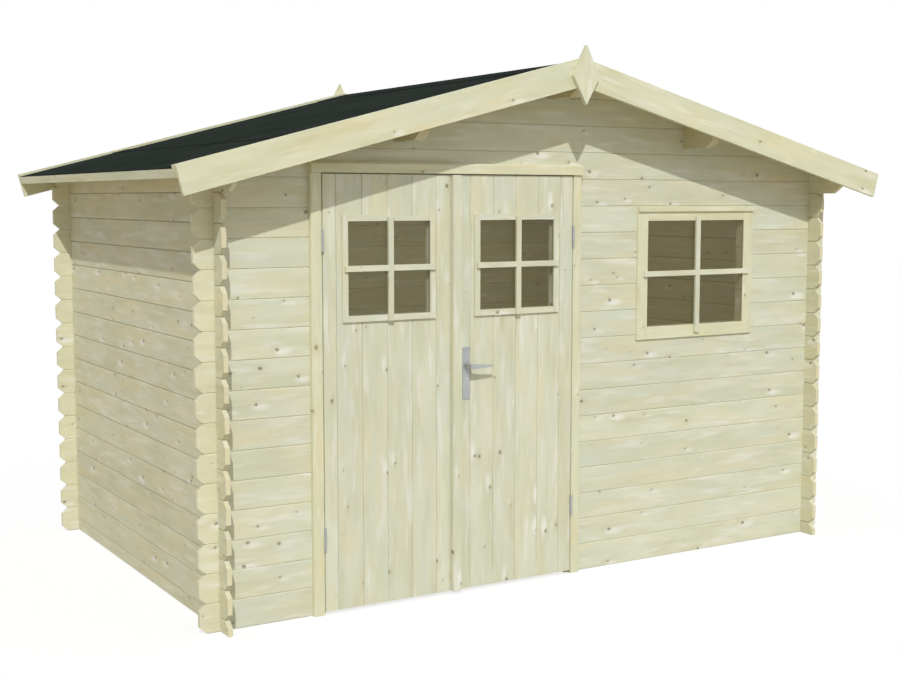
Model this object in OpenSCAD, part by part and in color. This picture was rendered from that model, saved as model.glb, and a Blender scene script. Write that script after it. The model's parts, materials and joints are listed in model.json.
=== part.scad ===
// Tool shed of interlocking wall logs: gable front, double door, one window and a felted roof.
// Millimetres. X runs along the front to the right, Y from the front to the back, Z up from the ground.
// The origin is on the ground, under the middle of the shed's bounding box.

/* [Logs] */
// Covering height of one wall log
log_h = 114; // [108:1:124]
// Thickness of a wall log
wall_t = 19; // [16:1:24]
// Full logs in a side wall, above its half log
side_logs = 15; // [14:1:17]
// Front wall, between the outer faces of the side walls
front_l = 3040; // [2900:10:3600]
// Side wall, between the outer faces of the front and back walls
side_l = 1895; // [1500:5:2600]
// How far the log ends stand past a corner
log_end = 80; // [60:1:100]
// Height of the sloping cuts on a log end
end_cut_h = 26; // [15:1:40]
// Length of the sloping cuts along the log
end_cut_l = 30; // [15:1:50]
// Bevel along the long edges of a log
edge_bevel = 3; // [1:0.5:4]
// Width of the tongue on a log's top edge
tongue_w = 6; // [4:0.5:7]
// Height of the tongue
tongue_h = 6; // [4:0.5:10]
// Gap between pieces that lie on or against each other
fit = 0.4; // [0.2:0.1:0.8]

/* [Roof] */
// Slope of the roof in degrees
roof_slope = 14.6; // [10:0.2:20]
// Reach of the eaves past the side walls
side_over = 215; // [150:1:300]
// Reach of the front barge boards past the front wall
front_over = 214; // [150:1:300]
// Gap between the side logs' back ends and the back barge boards
back_clear = 1; // [0.5:0.5:40]
// Thickness of the roof boards
deck_t = 19; // [15:1:25]
// Thickness of the roofing felt
felt_t = 3; // [2:0.5:5]
// Height of the barge boards, square to the slope
barge_h = 110; // [80:1:140]
// Thickness of the barge boards
barge_t = 19; // [15:1:28]
// How far the barge boards stand above the felt
barge_up = 10; // [4:1:20]
// Width of the verge battens on the roof boards
batten_w = 28; // [15:1:45]
// Height of the strip along the eaves
eave_h = 33; // [24:1:50]
// Thickness of the strip along the eaves
eave_t = 18; // [12:1:25]
// Width of the finials
finial_w = 130; // [90:1:170]
// Height of the finials
finial_h = 240; // [180:1:300]
// Distance from a finial's top point down to its widest place
finial_waist = 126; // [80:1:160]
// How far a finial stands above the barge boards
finial_up = 50; // [20:1:90]
// Thickness of the finials
finial_t = 19; // [12:1:28]

/* [Purlins] */
// Width of a purlin
purlin_w = 45; // [35:1:60]
// Height of a purlin
purlin_h = 120; // [90:1:150]
// Distance from the ridge to the middle of a side purlin
purlin_x = 735; // [500:5:900]
// Height of the sloping cut under a beam's end
beam_cut_h = 30; // [10:1:45]
// Length of the sloping cut under a beam's end
beam_cut_l = 45; // [10:1:80]

/* [Door frame] */
// Share of the front wall's free length that lies left of the doorway
door_share = 0.351; // [0.25:0.001:0.4]
// Width of the doorway between the jambs
door_w = 1186; // [1050:1:1350]
// Top of the side walls down to the underside of the door head
door_drop = 39; // [30:1:150]
// Width of a jamb's face
jamb_w = 44; // [38:1:60]
// How far the jambs stand out of the wall
jamb_out = 22; // [16:1:30]
// How far the jambs stand into the room
jamb_in = 22; // [16:1:30]
// Depth of the groove that holds the wall logs
groove_d = 24; // [15:1:28]
// Width of the stop behind the door leaves
stop_w = 14; // [8:1:20]
// Bevel on a jamb's outer edge
jamb_bevel = 3; // [1:0.5:5]
// Height of the door head
head_h = 42; // [34:1:60]
// How far the door head stands out of the wall
head_out = 32; // [26:1:45]
// Thickness of the head under the logs
head_web = 18; // [12:1:24]
// Bevel on the head's top edge
head_bevel = 8; // [3:1:14]

/* [Door leaves] */
// Share of the doorway's width that lies left of the gap between the leaves
meet_share = 0.485; // [0.45:0.001:0.5]
// Gap around the leaves
leaf_gap = 5; // [5:0.5:8]
// Gap under the leaves
leaf_floor = 14; // [5:1:20]
// Thickness of the leaf boards
leaf_t = 19; // [15:1:25]
// Width of the cover strip beside the meeting gap
strip_w = 39; // [30:1:60]
// Thickness of the cover strip
strip_t = 19; // [8:1:20]
// Height of the ledges on the leaves' inner face
ledge_h = 90; // [60:1:120]
// Thickness of the ledges
ledge_t = 19; // [12:1:25]
// Leaf edge to the end of a ledge
ledge_in = 24; // [20:1:60]
// Leaf bottom to the bottom ledge
ledge_low = 140; // [100:1:220]
// Leaf top to the top ledge
ledge_top = 40; // [30:1:50]
// Gap between the door window and the ledge under it
ledge_gap = 15; // [5:1:30]

/* [Door windows] */
// Half the doorway's width less the outer side of the square window frame
pane_less = 178; // [150:1:220]
// Width of the frame's bars
pane_bar = 24; // [20:1:36]
// How far the frame laps over the leaf boards
pane_lap = 18; // [12:1:20]
// Thickness of the frame
pane_t = 10; // [6:1:14]
// Leaf's hinge edge to the window frame
pane_hinge = 79; // [60:1:90]
// Leaf top down to the window frame
pane_drop = 157; // [140:1:200]
// Thickness of the glass
glass_t = 4; // [3:0.5:6]

/* [Hinges and handle] */
// Height of a lift-off hinge
hinge_h = 88; // [60:1:120]
// Radius of a hinge knuckle
knuckle_r = 5; // [4:0.5:7]
// Radius of a hinge pin
pin_r = 2.5; // [2:0.1:3]
// Clearance between a pin and its bore
pin_fit = 0.1; // [0.05:0.05:0.2]
// Thickness of a hinge plate
plate_t = 1.5; // [1:0.25:1.75]
// Width of a hinge plate
plate_w = 18; // [12:1:20]
// Leaf bottom to the lower hinge
hinge_low = 246; // [230:1:350]
// Leaf top to the upper hinge
hinge_top = 210; // [150:1:300]
// Width of the handle plates
lock_w = 34; // [28:1:44]
// Height of the handle plates
lock_h = 217; // [180:1:250]
// Thickness of the handle plates
lock_t = 3; // [2:0.5:5]
// Right leaf's meeting edge to the middle of the handle plates
lock_x = 71; // [62:1:110]
// Gap between the ledge and the handle plate under it
lock_gap = 21; // [5:1:40]
// Top of a handle plate down to the lever's axis
lever_drop = 77; // [50:1:110]
// Length of the levers, from their axis
lever_l = 99; // [80:1:130]
// Height of a lever at its neck
lever_h = 19; // [14:1:24]
// Height of a lever at its tip
lever_tip = 8; // [6:1:14]
// Thickness of a lever
lever_t = 9; // [6:1:12]
// Length of the neck between a plate and a lever
neck_l = 49; // [30:1:55]
// Width of the neck
neck_w = 19; // [14:1:24]
// Radius of the spindle
spindle_r = 4; // [3:0.5:6]

/* [Window] */
// Share of the front wall's free length that lies right of the window
window_share = 0.3345; // [0.25:0.0005:0.4]
// Top of the side walls down to the window opening
window_drop = 202; // [180:1:330]
// Width of the window opening
window_w = 635; // [500:1:700]
// Height of the window opening
window_h = 539; // [400:1:620]
// Width of the casing boards
casing_w = 56; // [50:1:80]
// How far the casing laps over the wall
casing_lap = 22; // [15:1:35]
// Thickness of the casing
casing_t = 10; // [6:1:18]
// Depth of the liner, from the wall's outer face
liner_d = 40; // [28:1:60]
// Depth of the glass in the casing
rebate = 6; // [4:1:10]
// Height of the strip over the window
drip_h = 21; // [18:1:40]
// How far that strip stands out of the wall
drip_out = 20; // [14:1:30]
// How far that strip laps down over the casing
drip_lap = 15; // [5:1:17]

/* [Hidden] */
$fn = 48;

pale = "#dbd8b7";
warm = "#d8cfa4";
grey = "#acacb6";
dark = "#2d3432";
pane = "#6e674c80";

// Walls
side_h = (side_logs + 0.5) * log_h;
ridge_z = side_h + tan(roof_slope) * front_l / 2;
gable_logs = [side_logs : ceil(ridge_z / log_h) - 1];
free_l = front_l - door_w - window_w;

// Roof layers, measured square to the slope from the underside of the roof boards
ca = cos(roof_slope);
sa = sin(roof_slope);
felt_n = deck_t + fit;
verge_n = felt_n + felt_t + barge_up;
roof_l = (front_l / 2 + side_over - verge_n * sa) / ca;
apex_z = ridge_z + verge_n / ca;
front_verge = -front_over + barge_t;
back_verge = side_l + log_end + back_clear;

// The bounding box's middle lies on the Z axis
y_low = -front_over - fit - finial_t;
y_high = back_verge + barge_t + fit + finial_t;
corner = [-front_l / 2, -(y_low + y_high) / 2, 0];

// Door frame and leaves
door_x = door_share * free_l;
meet_x = meet_share * door_w;
door_h = side_h - door_drop;
room_y = wall_t + fit + jamb_in;
stop_y = -jamb_out + leaf_t + leaf_gap;
leaf_y = -jamb_out + leaf_t;
leaf_z0 = leaf_floor;
leaf_z1 = door_h - leaf_gap;
left_x0 = door_x + leaf_gap;
left_x1 = door_x + meet_x - leaf_gap / 2;
right_x0 = left_x1 + leaf_gap;
right_x1 = door_x + door_w - leaf_gap;
pane_out = door_w / 2 - pane_less;
pane_z = leaf_z1 - pane_drop - pane_out;
left_pane_x = left_x0 + pane_hinge;
right_pane_x = right_x1 - pane_hinge - pane_out;
pane_hole = pane_out - 2 * pane_lap;
mid_ledge_z = pane_z - ledge_gap - ledge_h;

// Hinges and handle
axis_y = -jamb_out - knuckle_r - fit;
hinge_zs = [leaf_z0 + hinge_low, leaf_z1 - hinge_top - hinge_h];
left_axis_x = door_x + leaf_gap / 2;
right_axis_x = door_x + door_w - leaf_gap / 2;
lock_z = mid_ledge_z - lock_gap - lock_h;
lever_x = right_x0 + lock_x;
lever_z = lock_z + lock_h - lever_drop;

// Window
window_x = front_l - window_share * free_l - window_w;
window_z = side_h - window_drop - window_h;
casing_x = window_x - casing_lap;
casing_z = window_z - casing_lap;
light_w = window_w + 2 * casing_lap - 2 * casing_w;
light_h = window_h + 2 * casing_lap - 2 * casing_w;
light_x = casing_x + casing_w;
light_z = casing_z + casing_w;

// A point of the right-hand slope: s along it from the ridge, n square to it
function slope(s, n) = [front_l / 2 + s * ca + n * sa, ridge_z - s * sa + n * ca];
// Where a layer at height n meets the plumb cut at the ridge
function plumb(n) = (fit / 2 - n * sa) / ca;

// Moves a piece drawn from the front left corner of the walls to its place
module place() translate(corner) children();

// Turns a piece of the right half into its twin on the left half
module twin() translate([front_l, 0, 0]) mirror([1, 0, 0]) children();

// A plate with its outline in X and Z, from y0 to y1
module slab(y0, y1, points) translate([0, y1, 0]) rotate([90, 0, 0]) linear_extrude(y1 - y0) polygon(points);

// A bar with its outline in Y and Z, from x0 to x1
module bar(x0, x1, points) translate([x0, 0, 0]) rotate([90, 0, 90]) linear_extrude(x1 - x0) polygon(points);

// A box between two corners
module box(low, high) translate(low) cube(high - low);

// One layer of the right-hand slope, from the ridge down to s1
module layer(n0, n1, s1, y0, y1)
    slab(y0, y1, [slope(plumb(n0), n0), slope(s1, n0), slope(s1, n1), slope(plumb(n1), n1)]);

// All that lies under the roof boards
module under_roof() {
    low = ridge_z - (front_l / 2 + side_over) * sa / ca - fit;
    slab(y_low, y_high, [[-side_over, -1], [front_l + side_over, -1], [front_l + side_over, low],
        [front_l / 2, ridge_z - fit], [-side_over, low]]);
}

// A log along X between z0 and z1, with its outer face at y = 0. Its ends reach past the corners by the
// two values of ends. At each corner only the height between keep[0] and keep[1] is left, so that the
// logs of the other wall lock into it. cuts says whether the lower and upper end corners slope.
module wall_log(len, z0, z1, keep, ends = [log_end, log_end], cuts = [true, true], tongue = true,
    groove = true, cut = [end_cut_l, end_cut_h]) {
    x0 = -ends[0];
    x1 = len + ends[1];
    top = z1 + (tongue ? tongue_h : 0);
    inner = wall_t + fit;
    mid = wall_t / 2;
    difference() {
        intersection() {
            slab(0, wall_t, concat(
                cuts[0] ? [[x0, z0 + cut[1]], [x0 + cut[0], z0], [x1 - cut[0], z0], [x1, z0 + cut[1]]]
                    : [[x0, z0], [x1, z0]],
                cuts[1] ? [[x1, z1 - cut[1]], [x1 - cut[0], z1]] : [[x1, z1]],
                tongue ? [[len - inner, z1], [len - inner, top], [inner, top], [inner, z1]] : [],
                cuts[1] ? [[x0 + cut[0], z1], [x0, z1 - cut[1]]] : [[x0, z1]]));
            bar(x0, x1, concat(
                [[edge_bevel, z0], [wall_t - edge_bevel, z0], [wall_t, z0 + edge_bevel],
                    [wall_t, z1 - edge_bevel], [wall_t - edge_bevel, z1]],
                tongue ? [[mid + tongue_w / 2, z1], [mid + tongue_w / 2, top],
                    [mid - tongue_w / 2, top], [mid - tongue_w / 2, z1]] : [],
                [[edge_bevel, z1], [0, z1 - edge_bevel], [0, z0 + edge_bevel]]));
        }
        for (x = [0, len - wall_t]) {
            if (keep[0] > z0) box([x - fit, -1, z0 - 1], [x + wall_t + fit, wall_t + 1, keep[0]]);
            if (keep[1] < z1) box([x - fit, -1, keep[1]], [x + wall_t + fit, wall_t + 1, top + 1]);
        }
        if (groove) box([inner, mid - tongue_w / 2 - fit, z0 - 1],
            [len - inner, mid + tongue_w / 2 + fit, z0 + tongue_h + fit]);
    }
}

// Log k of the front or back wall, counted from the ground
module cross_log(k)
    wall_log(front_l, k * log_h + (k > 0 ? fit / 2 : 0), (k + 1) * log_h - fit / 2,
        [(k + 0.25) * log_h + fit / 2, (k + 0.75) * log_h - fit / 2], groove = k > 0);

// The logs of a side wall, from the half log on the ground to the beam under the eaves
module side_stack() translate([wall_t, 0, 0]) rotate([0, 0, 90]) {
    wall_log(side_l, 0, log_h / 2 - fit / 2, [0, log_h / 4 - fit / 2], cuts = [false, true], groove = false);
    for (k = [1 : side_logs - 1])
        wall_log(side_l, (k - 0.5) * log_h + fit / 2, (k + 0.5) * log_h - fit / 2,
            [(k - 0.25) * log_h + fit / 2, (k + 0.25) * log_h - fit / 2]);
}

// The top log of the left wall, which carries the front overhang and is planed to the slope
module eave_log() intersection() {
    translate([wall_t, 0, 0]) rotate([0, 0, 90])
        wall_log(side_l, side_h - log_h + fit / 2, side_h + wall_t,
            [side_h - 0.75 * log_h + fit / 2, side_h - 0.25 * log_h - fit / 2],
            ends = [front_over - barge_t - fit, log_end], cuts = [true, false], tongue = false,
            cut = [beam_cut_l, beam_cut_h]);
    under_roof();
}

// What the door frame and the window take out of the front wall
module front_openings() {
    box([door_x - jamb_w + groove_d - fit, -1, -1],
        [door_x + door_w + jamb_w - groove_d + fit, wall_t + 1, door_h]);
    box([door_x - jamb_w - fit, -1, door_h - fit],
        [door_x + door_w + jamb_w + fit, wall_t + 1, door_h + head_web + fit]);
    box([window_x, -1, window_z], [window_x + window_w, wall_t + 1, window_z + window_h]);
}

// The front wall's logs between x0 and x1, without its openings
module front_side(x0, x1) intersection() {
    difference() {
        for (k = [0 : side_logs - 1]) cross_log(k);
        front_openings();
    }
    box([x0, -1, -1], [x1, wall_t + 1, ridge_z]);
}

// The logs between the top of the side walls and the ridge
module gable() difference() {
    intersection() {
        for (k = gable_logs) cross_log(k);
        under_roof();
    }
    for (x = [front_l / 2 - purlin_x, front_l / 2, front_l / 2 + purlin_x])
        box([x - purlin_w / 2 - fit, -1, purlin_bottom(x) - fit],
            [x + purlin_w / 2 + fit, wall_t + 1, apex_z]);
}

// Underside of the purlin whose middle is at x
function purlin_bottom(x) = ridge_z - abs(x - front_l / 2) * sa / ca - purlin_h;

// A purlin with its ends cut back underneath, planed to the slope on top
module purlin(x) intersection() {
    y0 = front_verge + fit;
    y1 = back_verge - fit;
    z0 = purlin_bottom(x);
    bar(x - purlin_w / 2, x + purlin_w / 2, [[y0, z0 + beam_cut_h], [y0 + beam_cut_l, z0],
        [y1 - beam_cut_l, z0], [y1, z0 + beam_cut_h], [y1, apex_z], [y0, apex_z]]);
    under_roof();
}

// Roof pieces of the right half
module deck() layer(0, deck_t, roof_l - eave_t - fit, front_verge + fit, back_verge - fit);
module felt() layer(felt_n, felt_n + felt_t, roof_l,
    front_verge + batten_w + 2 * fit, back_verge - batten_w - 2 * fit);
module barge(y0) layer(verge_n - barge_h, verge_n, roof_l, y0, y0 + barge_t);
module batten(y0) layer(felt_n, verge_n, roof_l, y0, y0 + batten_w);
module eave_strip() slab(front_verge + fit, back_verge - fit,
    [slope(roof_l - eave_t, deck_t - eave_h), slope(roof_l, deck_t - eave_h),
    slope(roof_l, deck_t), slope(roof_l - eave_t, deck_t)]);

// A diamond over the joint of the barge boards
module finial(y0) {
    top = apex_z + finial_up;
    slab(y0, y0 + finial_t, [[front_l / 2, top - finial_h], [front_l / 2 + finial_w / 2, top - finial_waist],
        [front_l / 2, top], [front_l / 2 - finial_w / 2, top - finial_waist]]);
}

// The left jamb: a post with a groove for the wall logs and a stop behind the leaf
module jamb() translate([door_x - jamb_w, 0, 0]) linear_extrude(door_h - fit)
    polygon([[jamb_bevel, -jamb_out], [jamb_w, -jamb_out], [jamb_w, stop_y], [jamb_w + stop_w, stop_y],
        [jamb_w + stop_w, room_y], [0, room_y], [0, wall_t + fit], [groove_d, wall_t + fit],
        [groove_d, -fit], [0, -fit], [0, -jamb_out + jamb_bevel]]);

// Four bars around an opening of w by h whose lower left corner is at x, z; b is their width
module ring(x, z, w, h, b, y0, y1) {
    for (dx = [-b, w]) box([x + dx, y0, z - b], [x + dx + b, y1, z + h + b]);
    for (dz = [-b, h]) box([x + fit, y0, z + dz], [x + w - fit, y1, z + dz + b]);
}

// The boards of a leaf between x0 and x1, with the hole for its window
module leaf(x0, x1, x_pane) difference() {
    box([x0, -jamb_out, leaf_z0], [x1, leaf_y, leaf_z1]);
    box([x_pane + pane_lap, -jamb_out - 1, pane_z + pane_lap],
        [x_pane + pane_lap + pane_hole, leaf_y + 1, pane_z + pane_lap + pane_hole]);
}

// The frames of a door window: the outer one, rebated at its back for the glass, and the inner one
module pane_frame(x) {
    side = pane_out - 2 * pane_bar;
    back = -jamb_out - fit / 2;
    difference() {
        ring(x + pane_bar, pane_z + pane_bar, side, side, pane_bar, back - pane_t, back);
        box([x + pane_lap, back - glass_t - fit, pane_z + pane_lap],
            [x + pane_lap + pane_hole, back + 1, pane_z + pane_lap + pane_hole]);
    }
    ring(x + pane_bar, pane_z + pane_bar, side, side, pane_bar, leaf_y + fit / 2, leaf_y + fit / 2 + pane_t);
}

// The glass of a door window, in the rebate of its outer frame
module pane_glass(x) translate([x + pane_lap + fit, -jamb_out - fit - glass_t, pane_z + pane_lap + fit])
    cube([pane_hole - 2 * fit, glass_t, pane_hole - 2 * fit]);

// The ledges across a leaf's inner face
module ledges(x0, x1)
    for (z = [leaf_z0 + ledge_low, mid_ledge_z, leaf_z1 - ledge_top - ledge_h])
        box([x0 + ledge_in, leaf_y + fit / 2, z], [x1 - ledge_in, leaf_y + fit / 2 + ledge_t, z + ledge_h]);

// The jamb's half of a lift-off hinge: knuckle, plate against the left jamb, and pin
module pin_half(z) translate([left_axis_x, axis_y, z]) {
    cylinder(r = knuckle_r, h = hinge_h / 2 - fit / 2);
    cylinder(r = pin_r, h = hinge_h - 3 * pin_r);
    box([-leaf_gap / 2 + fit / 4, 0, 0],
        [-leaf_gap / 2 + fit / 4 + plate_t, knuckle_r + fit + plate_w, hinge_h / 2 - fit / 2]);
}

// The leaf's half of the same hinge, bored for the pin
module bored_half(z) translate([left_axis_x, axis_y, z]) difference() {
    union() {
        translate([0, 0, hinge_h / 2]) cylinder(r = knuckle_r, h = hinge_h / 2);
        box([leaf_gap / 2 - fit / 4 - plate_t, 0, hinge_h / 2],
            [leaf_gap / 2 - fit / 4, knuckle_r + fit + plate_w, hinge_h]);
    }
    translate([0, 0, -1]) cylinder(r = pin_r + pin_fit, h = hinge_h - 2 * pin_r + 1);
}

// Turns a hinge of the left jamb into its twin on the right jamb
module door_twin() translate([2 * door_x + door_w, 0, 0]) mirror([1, 0, 0]) children();

// A handle plate with the bore for the spindle
module lock_plate(y0) difference() {
    box([lever_x - lock_w / 2, y0, lock_z], [lever_x + lock_w / 2, y0 + lock_t, lock_z + lock_h]);
    lever_round(spindle_r + pin_fit, y0 - 1, y0 + lock_t + 1);
}

// One lever arm, tapered evenly towards its rounded tip, from y0
module lever_arm(y0) translate([lever_x, y0 + lever_t, lever_z]) rotate([90, 0, 0]) linear_extrude(lever_t) {
    translate([lever_l - lever_tip / 2, 0]) circle(d = lever_tip);
    polygon([[-neck_w / 2, -lever_h / 2], [neck_w / 2, -lever_h / 2],
        [lever_l - lever_tip / 2, -lever_tip / 2], [lever_l - lever_tip / 2, lever_tip / 2],
        [neck_w / 2, lever_h / 2], [-neck_w / 2, lever_h / 2]]);
}

// The square neck between a plate and its lever
module lever_neck(y0, y1)
    box([lever_x - neck_w / 2, y0, lever_z - lever_h / 2],
        [lever_x + neck_w / 2, y1, lever_z + lever_h / 2]);

// A round bar along Y on the lever's axis
module lever_round(r, y0, y1)
    translate([lever_x, y0, lever_z]) rotate([-90, 0, 0]) cylinder(r = r, h = y1 - y0);

// Sub-parts

module left_wall() color(pale) place() { side_stack(); eave_log(); }
module right_wall() color(pale) place() twin() { side_stack(); eave_log(); }
module back_wall() color(pale) place() translate([0, side_l - wall_t, 0])
    for (k = [0 : side_logs - 1]) cross_log(k);
module back_gable() color(pale) place() translate([0, side_l - wall_t, 0]) gable();

module front_wall_left() color(pale) place() front_side(-log_end - 1, door_x);
module front_wall_right() color(pale) place() front_side(door_x + door_w, front_l + log_end + 1);
module front_gable() color(pale) place() difference() { gable(); front_openings(); }

module ridge_purlin() color(warm) place() purlin(front_l / 2);
module left_purlin() color(warm) place() purlin(front_l / 2 - purlin_x);
module right_purlin() color(warm) place() purlin(front_l / 2 + purlin_x);

module left_roof_deck() color(warm) place() twin() deck();
module right_roof_deck() color(warm) place() deck();
module left_roof_felt() color(dark) place() twin() felt();
module right_roof_felt() color(dark) place() felt();
module left_eave_strip() color(pale) place() twin() eave_strip();
module right_eave_strip() color(pale) place() eave_strip();

module front_left_barge() color(pale) place() twin() barge(-front_over);
module front_right_barge() color(pale) place() barge(-front_over);
module back_left_barge() color(pale) place() twin() barge(back_verge);
module back_right_barge() color(pale) place() barge(back_verge);
module front_verge_battens() color(pale) place() {
    batten(front_verge + fit);
    twin() batten(front_verge + fit);
}
module back_verge_battens() color(pale) place() {
    batten(back_verge - fit - batten_w);
    twin() batten(back_verge - fit - batten_w);
}
module front_finial() color(pale) place() finial(y_low);
module back_finial() color(pale) place() finial(y_high - finial_t);

module left_door_jamb() color(pale) place() jamb();
module right_door_jamb() color(pale) place() door_twin() jamb();
module door_head() color(pale) place() {
    z1 = door_h + head_h;
    bar(door_x - jamb_w, door_x + door_w + jamb_w, [[-head_out, door_h], [room_y, door_h], [room_y, z1],
        [wall_t + fit, z1], [wall_t + fit, door_h + head_web], [-fit, door_h + head_web], [-fit, z1],
        [-head_out + head_bevel, z1], [-head_out, z1 - head_bevel]]);
    box([door_x + stop_w + fit, stop_y, door_h - stop_w],
        [door_x + door_w - stop_w - fit, room_y, door_h + head_web / 2]);
}

module window_casing() color(pale) place() difference() {
    ring(light_x, light_z, light_w, light_h, casing_w, -casing_t, -fit / 2);
    box([light_x - rebate, -glass_t - 1.5 * fit, light_z - rebate],
        [light_x + light_w + rebate, 1, light_z + light_h + rebate]);
}
module window_liner() color(pale) place()
    ring(light_x, light_z, light_w, light_h, casing_w - casing_lap - fit, 0, liner_d);
module window_glass() color(pane) place()
    box([light_x - rebate + fit, -glass_t - fit, light_z - rebate + fit],
        [light_x + light_w + rebate - fit, -fit, light_z + light_h + rebate - fit]);
module window_drip() color(pale) place() {
    z1 = casing_z + window_h + 2 * casing_lap;
    z0 = z1 - drip_lap;
    bar(casing_x, casing_x + window_w + 2 * casing_lap,
        [[-drip_out, z0], [-casing_t - fit, z0], [-casing_t - fit, z1 + fit], [-fit / 2, z1 + fit],
        [-fit / 2, z0 + drip_h], [-drip_out, z0 + drip_h]]);
}

module left_door_leaf() color(pale) place() leaf(left_x0, left_x1, left_pane_x);
module left_door_window_frame() color(pale) place() pane_frame(left_pane_x);
module left_door_glass() color(pane) place() pane_glass(left_pane_x);
module left_door_ledges() color(warm) place() ledges(left_x0, left_x1);

module right_door_leaf() color(pale) place() difference() {
    leaf(right_x0, right_x1, right_pane_x);
    lever_round(spindle_r + leaf_gap / 2, -jamb_out - 1, leaf_y + 1);
}
module right_door_window_frame() color(pale) place() pane_frame(right_pane_x);
module right_door_glass() color(pane) place() pane_glass(right_pane_x);
module right_door_ledges() color(warm) place() ledges(right_x0, right_x1);
module door_cover_strip() color(pale) place()
    box([right_x0, -jamb_out - fit / 2 - strip_t, leaf_z0],
        [right_x0 + strip_w, -jamb_out - fit / 2, leaf_z1]);

module jamb_hinges() color(grey) place() for (z = hinge_zs) { pin_half(z); door_twin() pin_half(z); }
module left_door_hinges() color(grey) place() for (z = hinge_zs) bored_half(z);
module right_door_hinges() color(grey) place() door_twin() for (z = hinge_zs) bored_half(z);

module handle_plates() color(grey) place() {
    lock_plate(-jamb_out - fit / 2 - lock_t);
    lock_plate(leaf_y + fit / 2);
}
module lever_handle() color(grey) place() {
    y_out = -jamb_out - fit / 2 - lock_t - fit;
    y_in = leaf_y + fit / 2 + lock_t + fit;
    lever_round(spindle_r, y_out - neck_l, y_in + neck_l);
    lever_neck(y_out - neck_l, y_out);
    lever_neck(y_in, y_in + neck_l);
    lever_arm(y_out - neck_l - lever_t / 2);
    lever_arm(y_in + neck_l - lever_t / 2);
}

left_wall();
right_wall();
back_wall();
back_gable();
front_wall_left();
front_wall_right();
front_gable();
ridge_purlin();
left_purlin();
right_purlin();
left_roof_deck();
right_roof_deck();
left_roof_felt();
right_roof_felt();
left_eave_strip();
right_eave_strip();
front_left_barge();
front_right_barge();
back_left_barge();
back_right_barge();
front_verge_battens();
back_verge_battens();
front_finial();
back_finial();
left_door_jamb();
right_door_jamb();
door_head();
window_casing();
window_liner();
window_glass();
window_drip();
left_door_leaf();
left_door_window_frame();
left_door_glass();
left_door_ledges();
right_door_leaf();
right_door_window_frame();
right_door_glass();
right_door_ledges();
door_cover_strip();
jamb_hinges();
left_door_hinges();
right_door_hinges();
handle_plates();
lever_handle();
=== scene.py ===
# %% [markdown]
# # Dressing a tool shed
#
# A garden shed of this kind is a stack of planed spruce logs that lock into each other at the corners.
# The construction comes packed as a fixed frame, in metres, with every piece in its place. This lesson
# gives each piece its finish, and adds what is too fine for the frame: the boards of the doors and the
# roof, the glazing bars, the felt sheets, the nails and a rounded handle.

# %% Load the frame
import json
import math

import bpy
import numpy as np
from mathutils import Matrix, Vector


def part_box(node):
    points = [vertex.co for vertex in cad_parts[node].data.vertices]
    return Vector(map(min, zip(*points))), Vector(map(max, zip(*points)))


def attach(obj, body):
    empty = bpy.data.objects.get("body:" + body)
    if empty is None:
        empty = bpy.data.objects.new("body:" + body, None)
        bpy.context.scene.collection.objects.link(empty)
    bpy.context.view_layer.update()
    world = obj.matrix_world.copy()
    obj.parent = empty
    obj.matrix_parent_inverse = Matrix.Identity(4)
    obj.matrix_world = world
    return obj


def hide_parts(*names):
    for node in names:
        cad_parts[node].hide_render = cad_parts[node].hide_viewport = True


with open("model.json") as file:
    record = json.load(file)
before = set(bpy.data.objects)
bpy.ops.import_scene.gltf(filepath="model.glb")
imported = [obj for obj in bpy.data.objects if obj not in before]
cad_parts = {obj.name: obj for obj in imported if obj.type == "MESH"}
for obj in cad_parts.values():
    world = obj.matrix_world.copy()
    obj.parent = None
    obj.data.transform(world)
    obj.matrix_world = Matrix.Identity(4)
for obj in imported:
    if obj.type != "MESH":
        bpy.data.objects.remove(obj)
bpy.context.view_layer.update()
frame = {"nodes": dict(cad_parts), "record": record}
scene = bpy.context.scene

# %% [markdown]
# ## The camera
#
# The photograph looks at the front left corner from eye height. A camera can be aimed with a constraint,
# but written angles are easier to read and to check: the vanishing points of the log joints give the
# turn, the tilt and the focal length, and the height of one log gives the distance.

# %% Camera
camera_place = (-3.366, -5.639, 1.628)
camera_turn = math.radians(31.055)
camera_tilt = math.radians(5.821)
lens = bpy.data.cameras.new("camera")
lens.sensor_fit = "HORIZONTAL"
lens.sensor_width = 36.0
lens.lens = 54.61
camera = bpy.data.objects.new("camera", lens)
camera.location = camera_place
camera.rotation_euler = (math.pi / 2 - camera_tilt, 0, -camera_turn)
scene.collection.objects.link(camera)
scene.camera = camera
print("camera", camera_place, "lens", lens.lens, "mm")

# %% [markdown]
# ## Shader nodes in one line each
#
# Every finish here is a small graph of nodes. Adding, setting and linking nodes takes three lines
# apiece, so one helper does all three: a value in its table is set on the socket, and a socket in its
# table is linked.

# %% Node helpers
def node(tree, kind, sockets=None, **settings):
    """A new shader node with its settings; each entry of sockets is linked or set by name or number."""
    made = tree.nodes.new("ShaderNode" + kind)
    for key, value in settings.items():
        setattr(made, key, value)
    for key, value in (sockets or {}).items():
        if isinstance(value, bpy.types.NodeSocket):
            tree.links.new(value, made.inputs[key])
        else:
            made.inputs[key].default_value = value
    return made


def calc(tree, operation, a, b=0.0):
    """One sum of two numbers or sockets."""
    return node(tree, "Math", {0: a, 1: b}, operation=operation).outputs[0]


def vectors(tree, operation, *inputs):
    """One sum of vectors; its outputs are the new vector and, for a length or a product, the Value."""
    return node(tree, "VectorMath", dict(enumerate(inputs)), operation=operation).outputs


def srgb(red, green, blue):
    """A screen colour of 0 to 255 as the linear colour that a shader needs."""
    share = np.array([red, green, blue]) / 255
    linear = np.where(share < 0.04045, share / 12.92, ((share + 0.055) / 1.055) ** 2.4)
    return (*linear.tolist(), 1.0)


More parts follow.
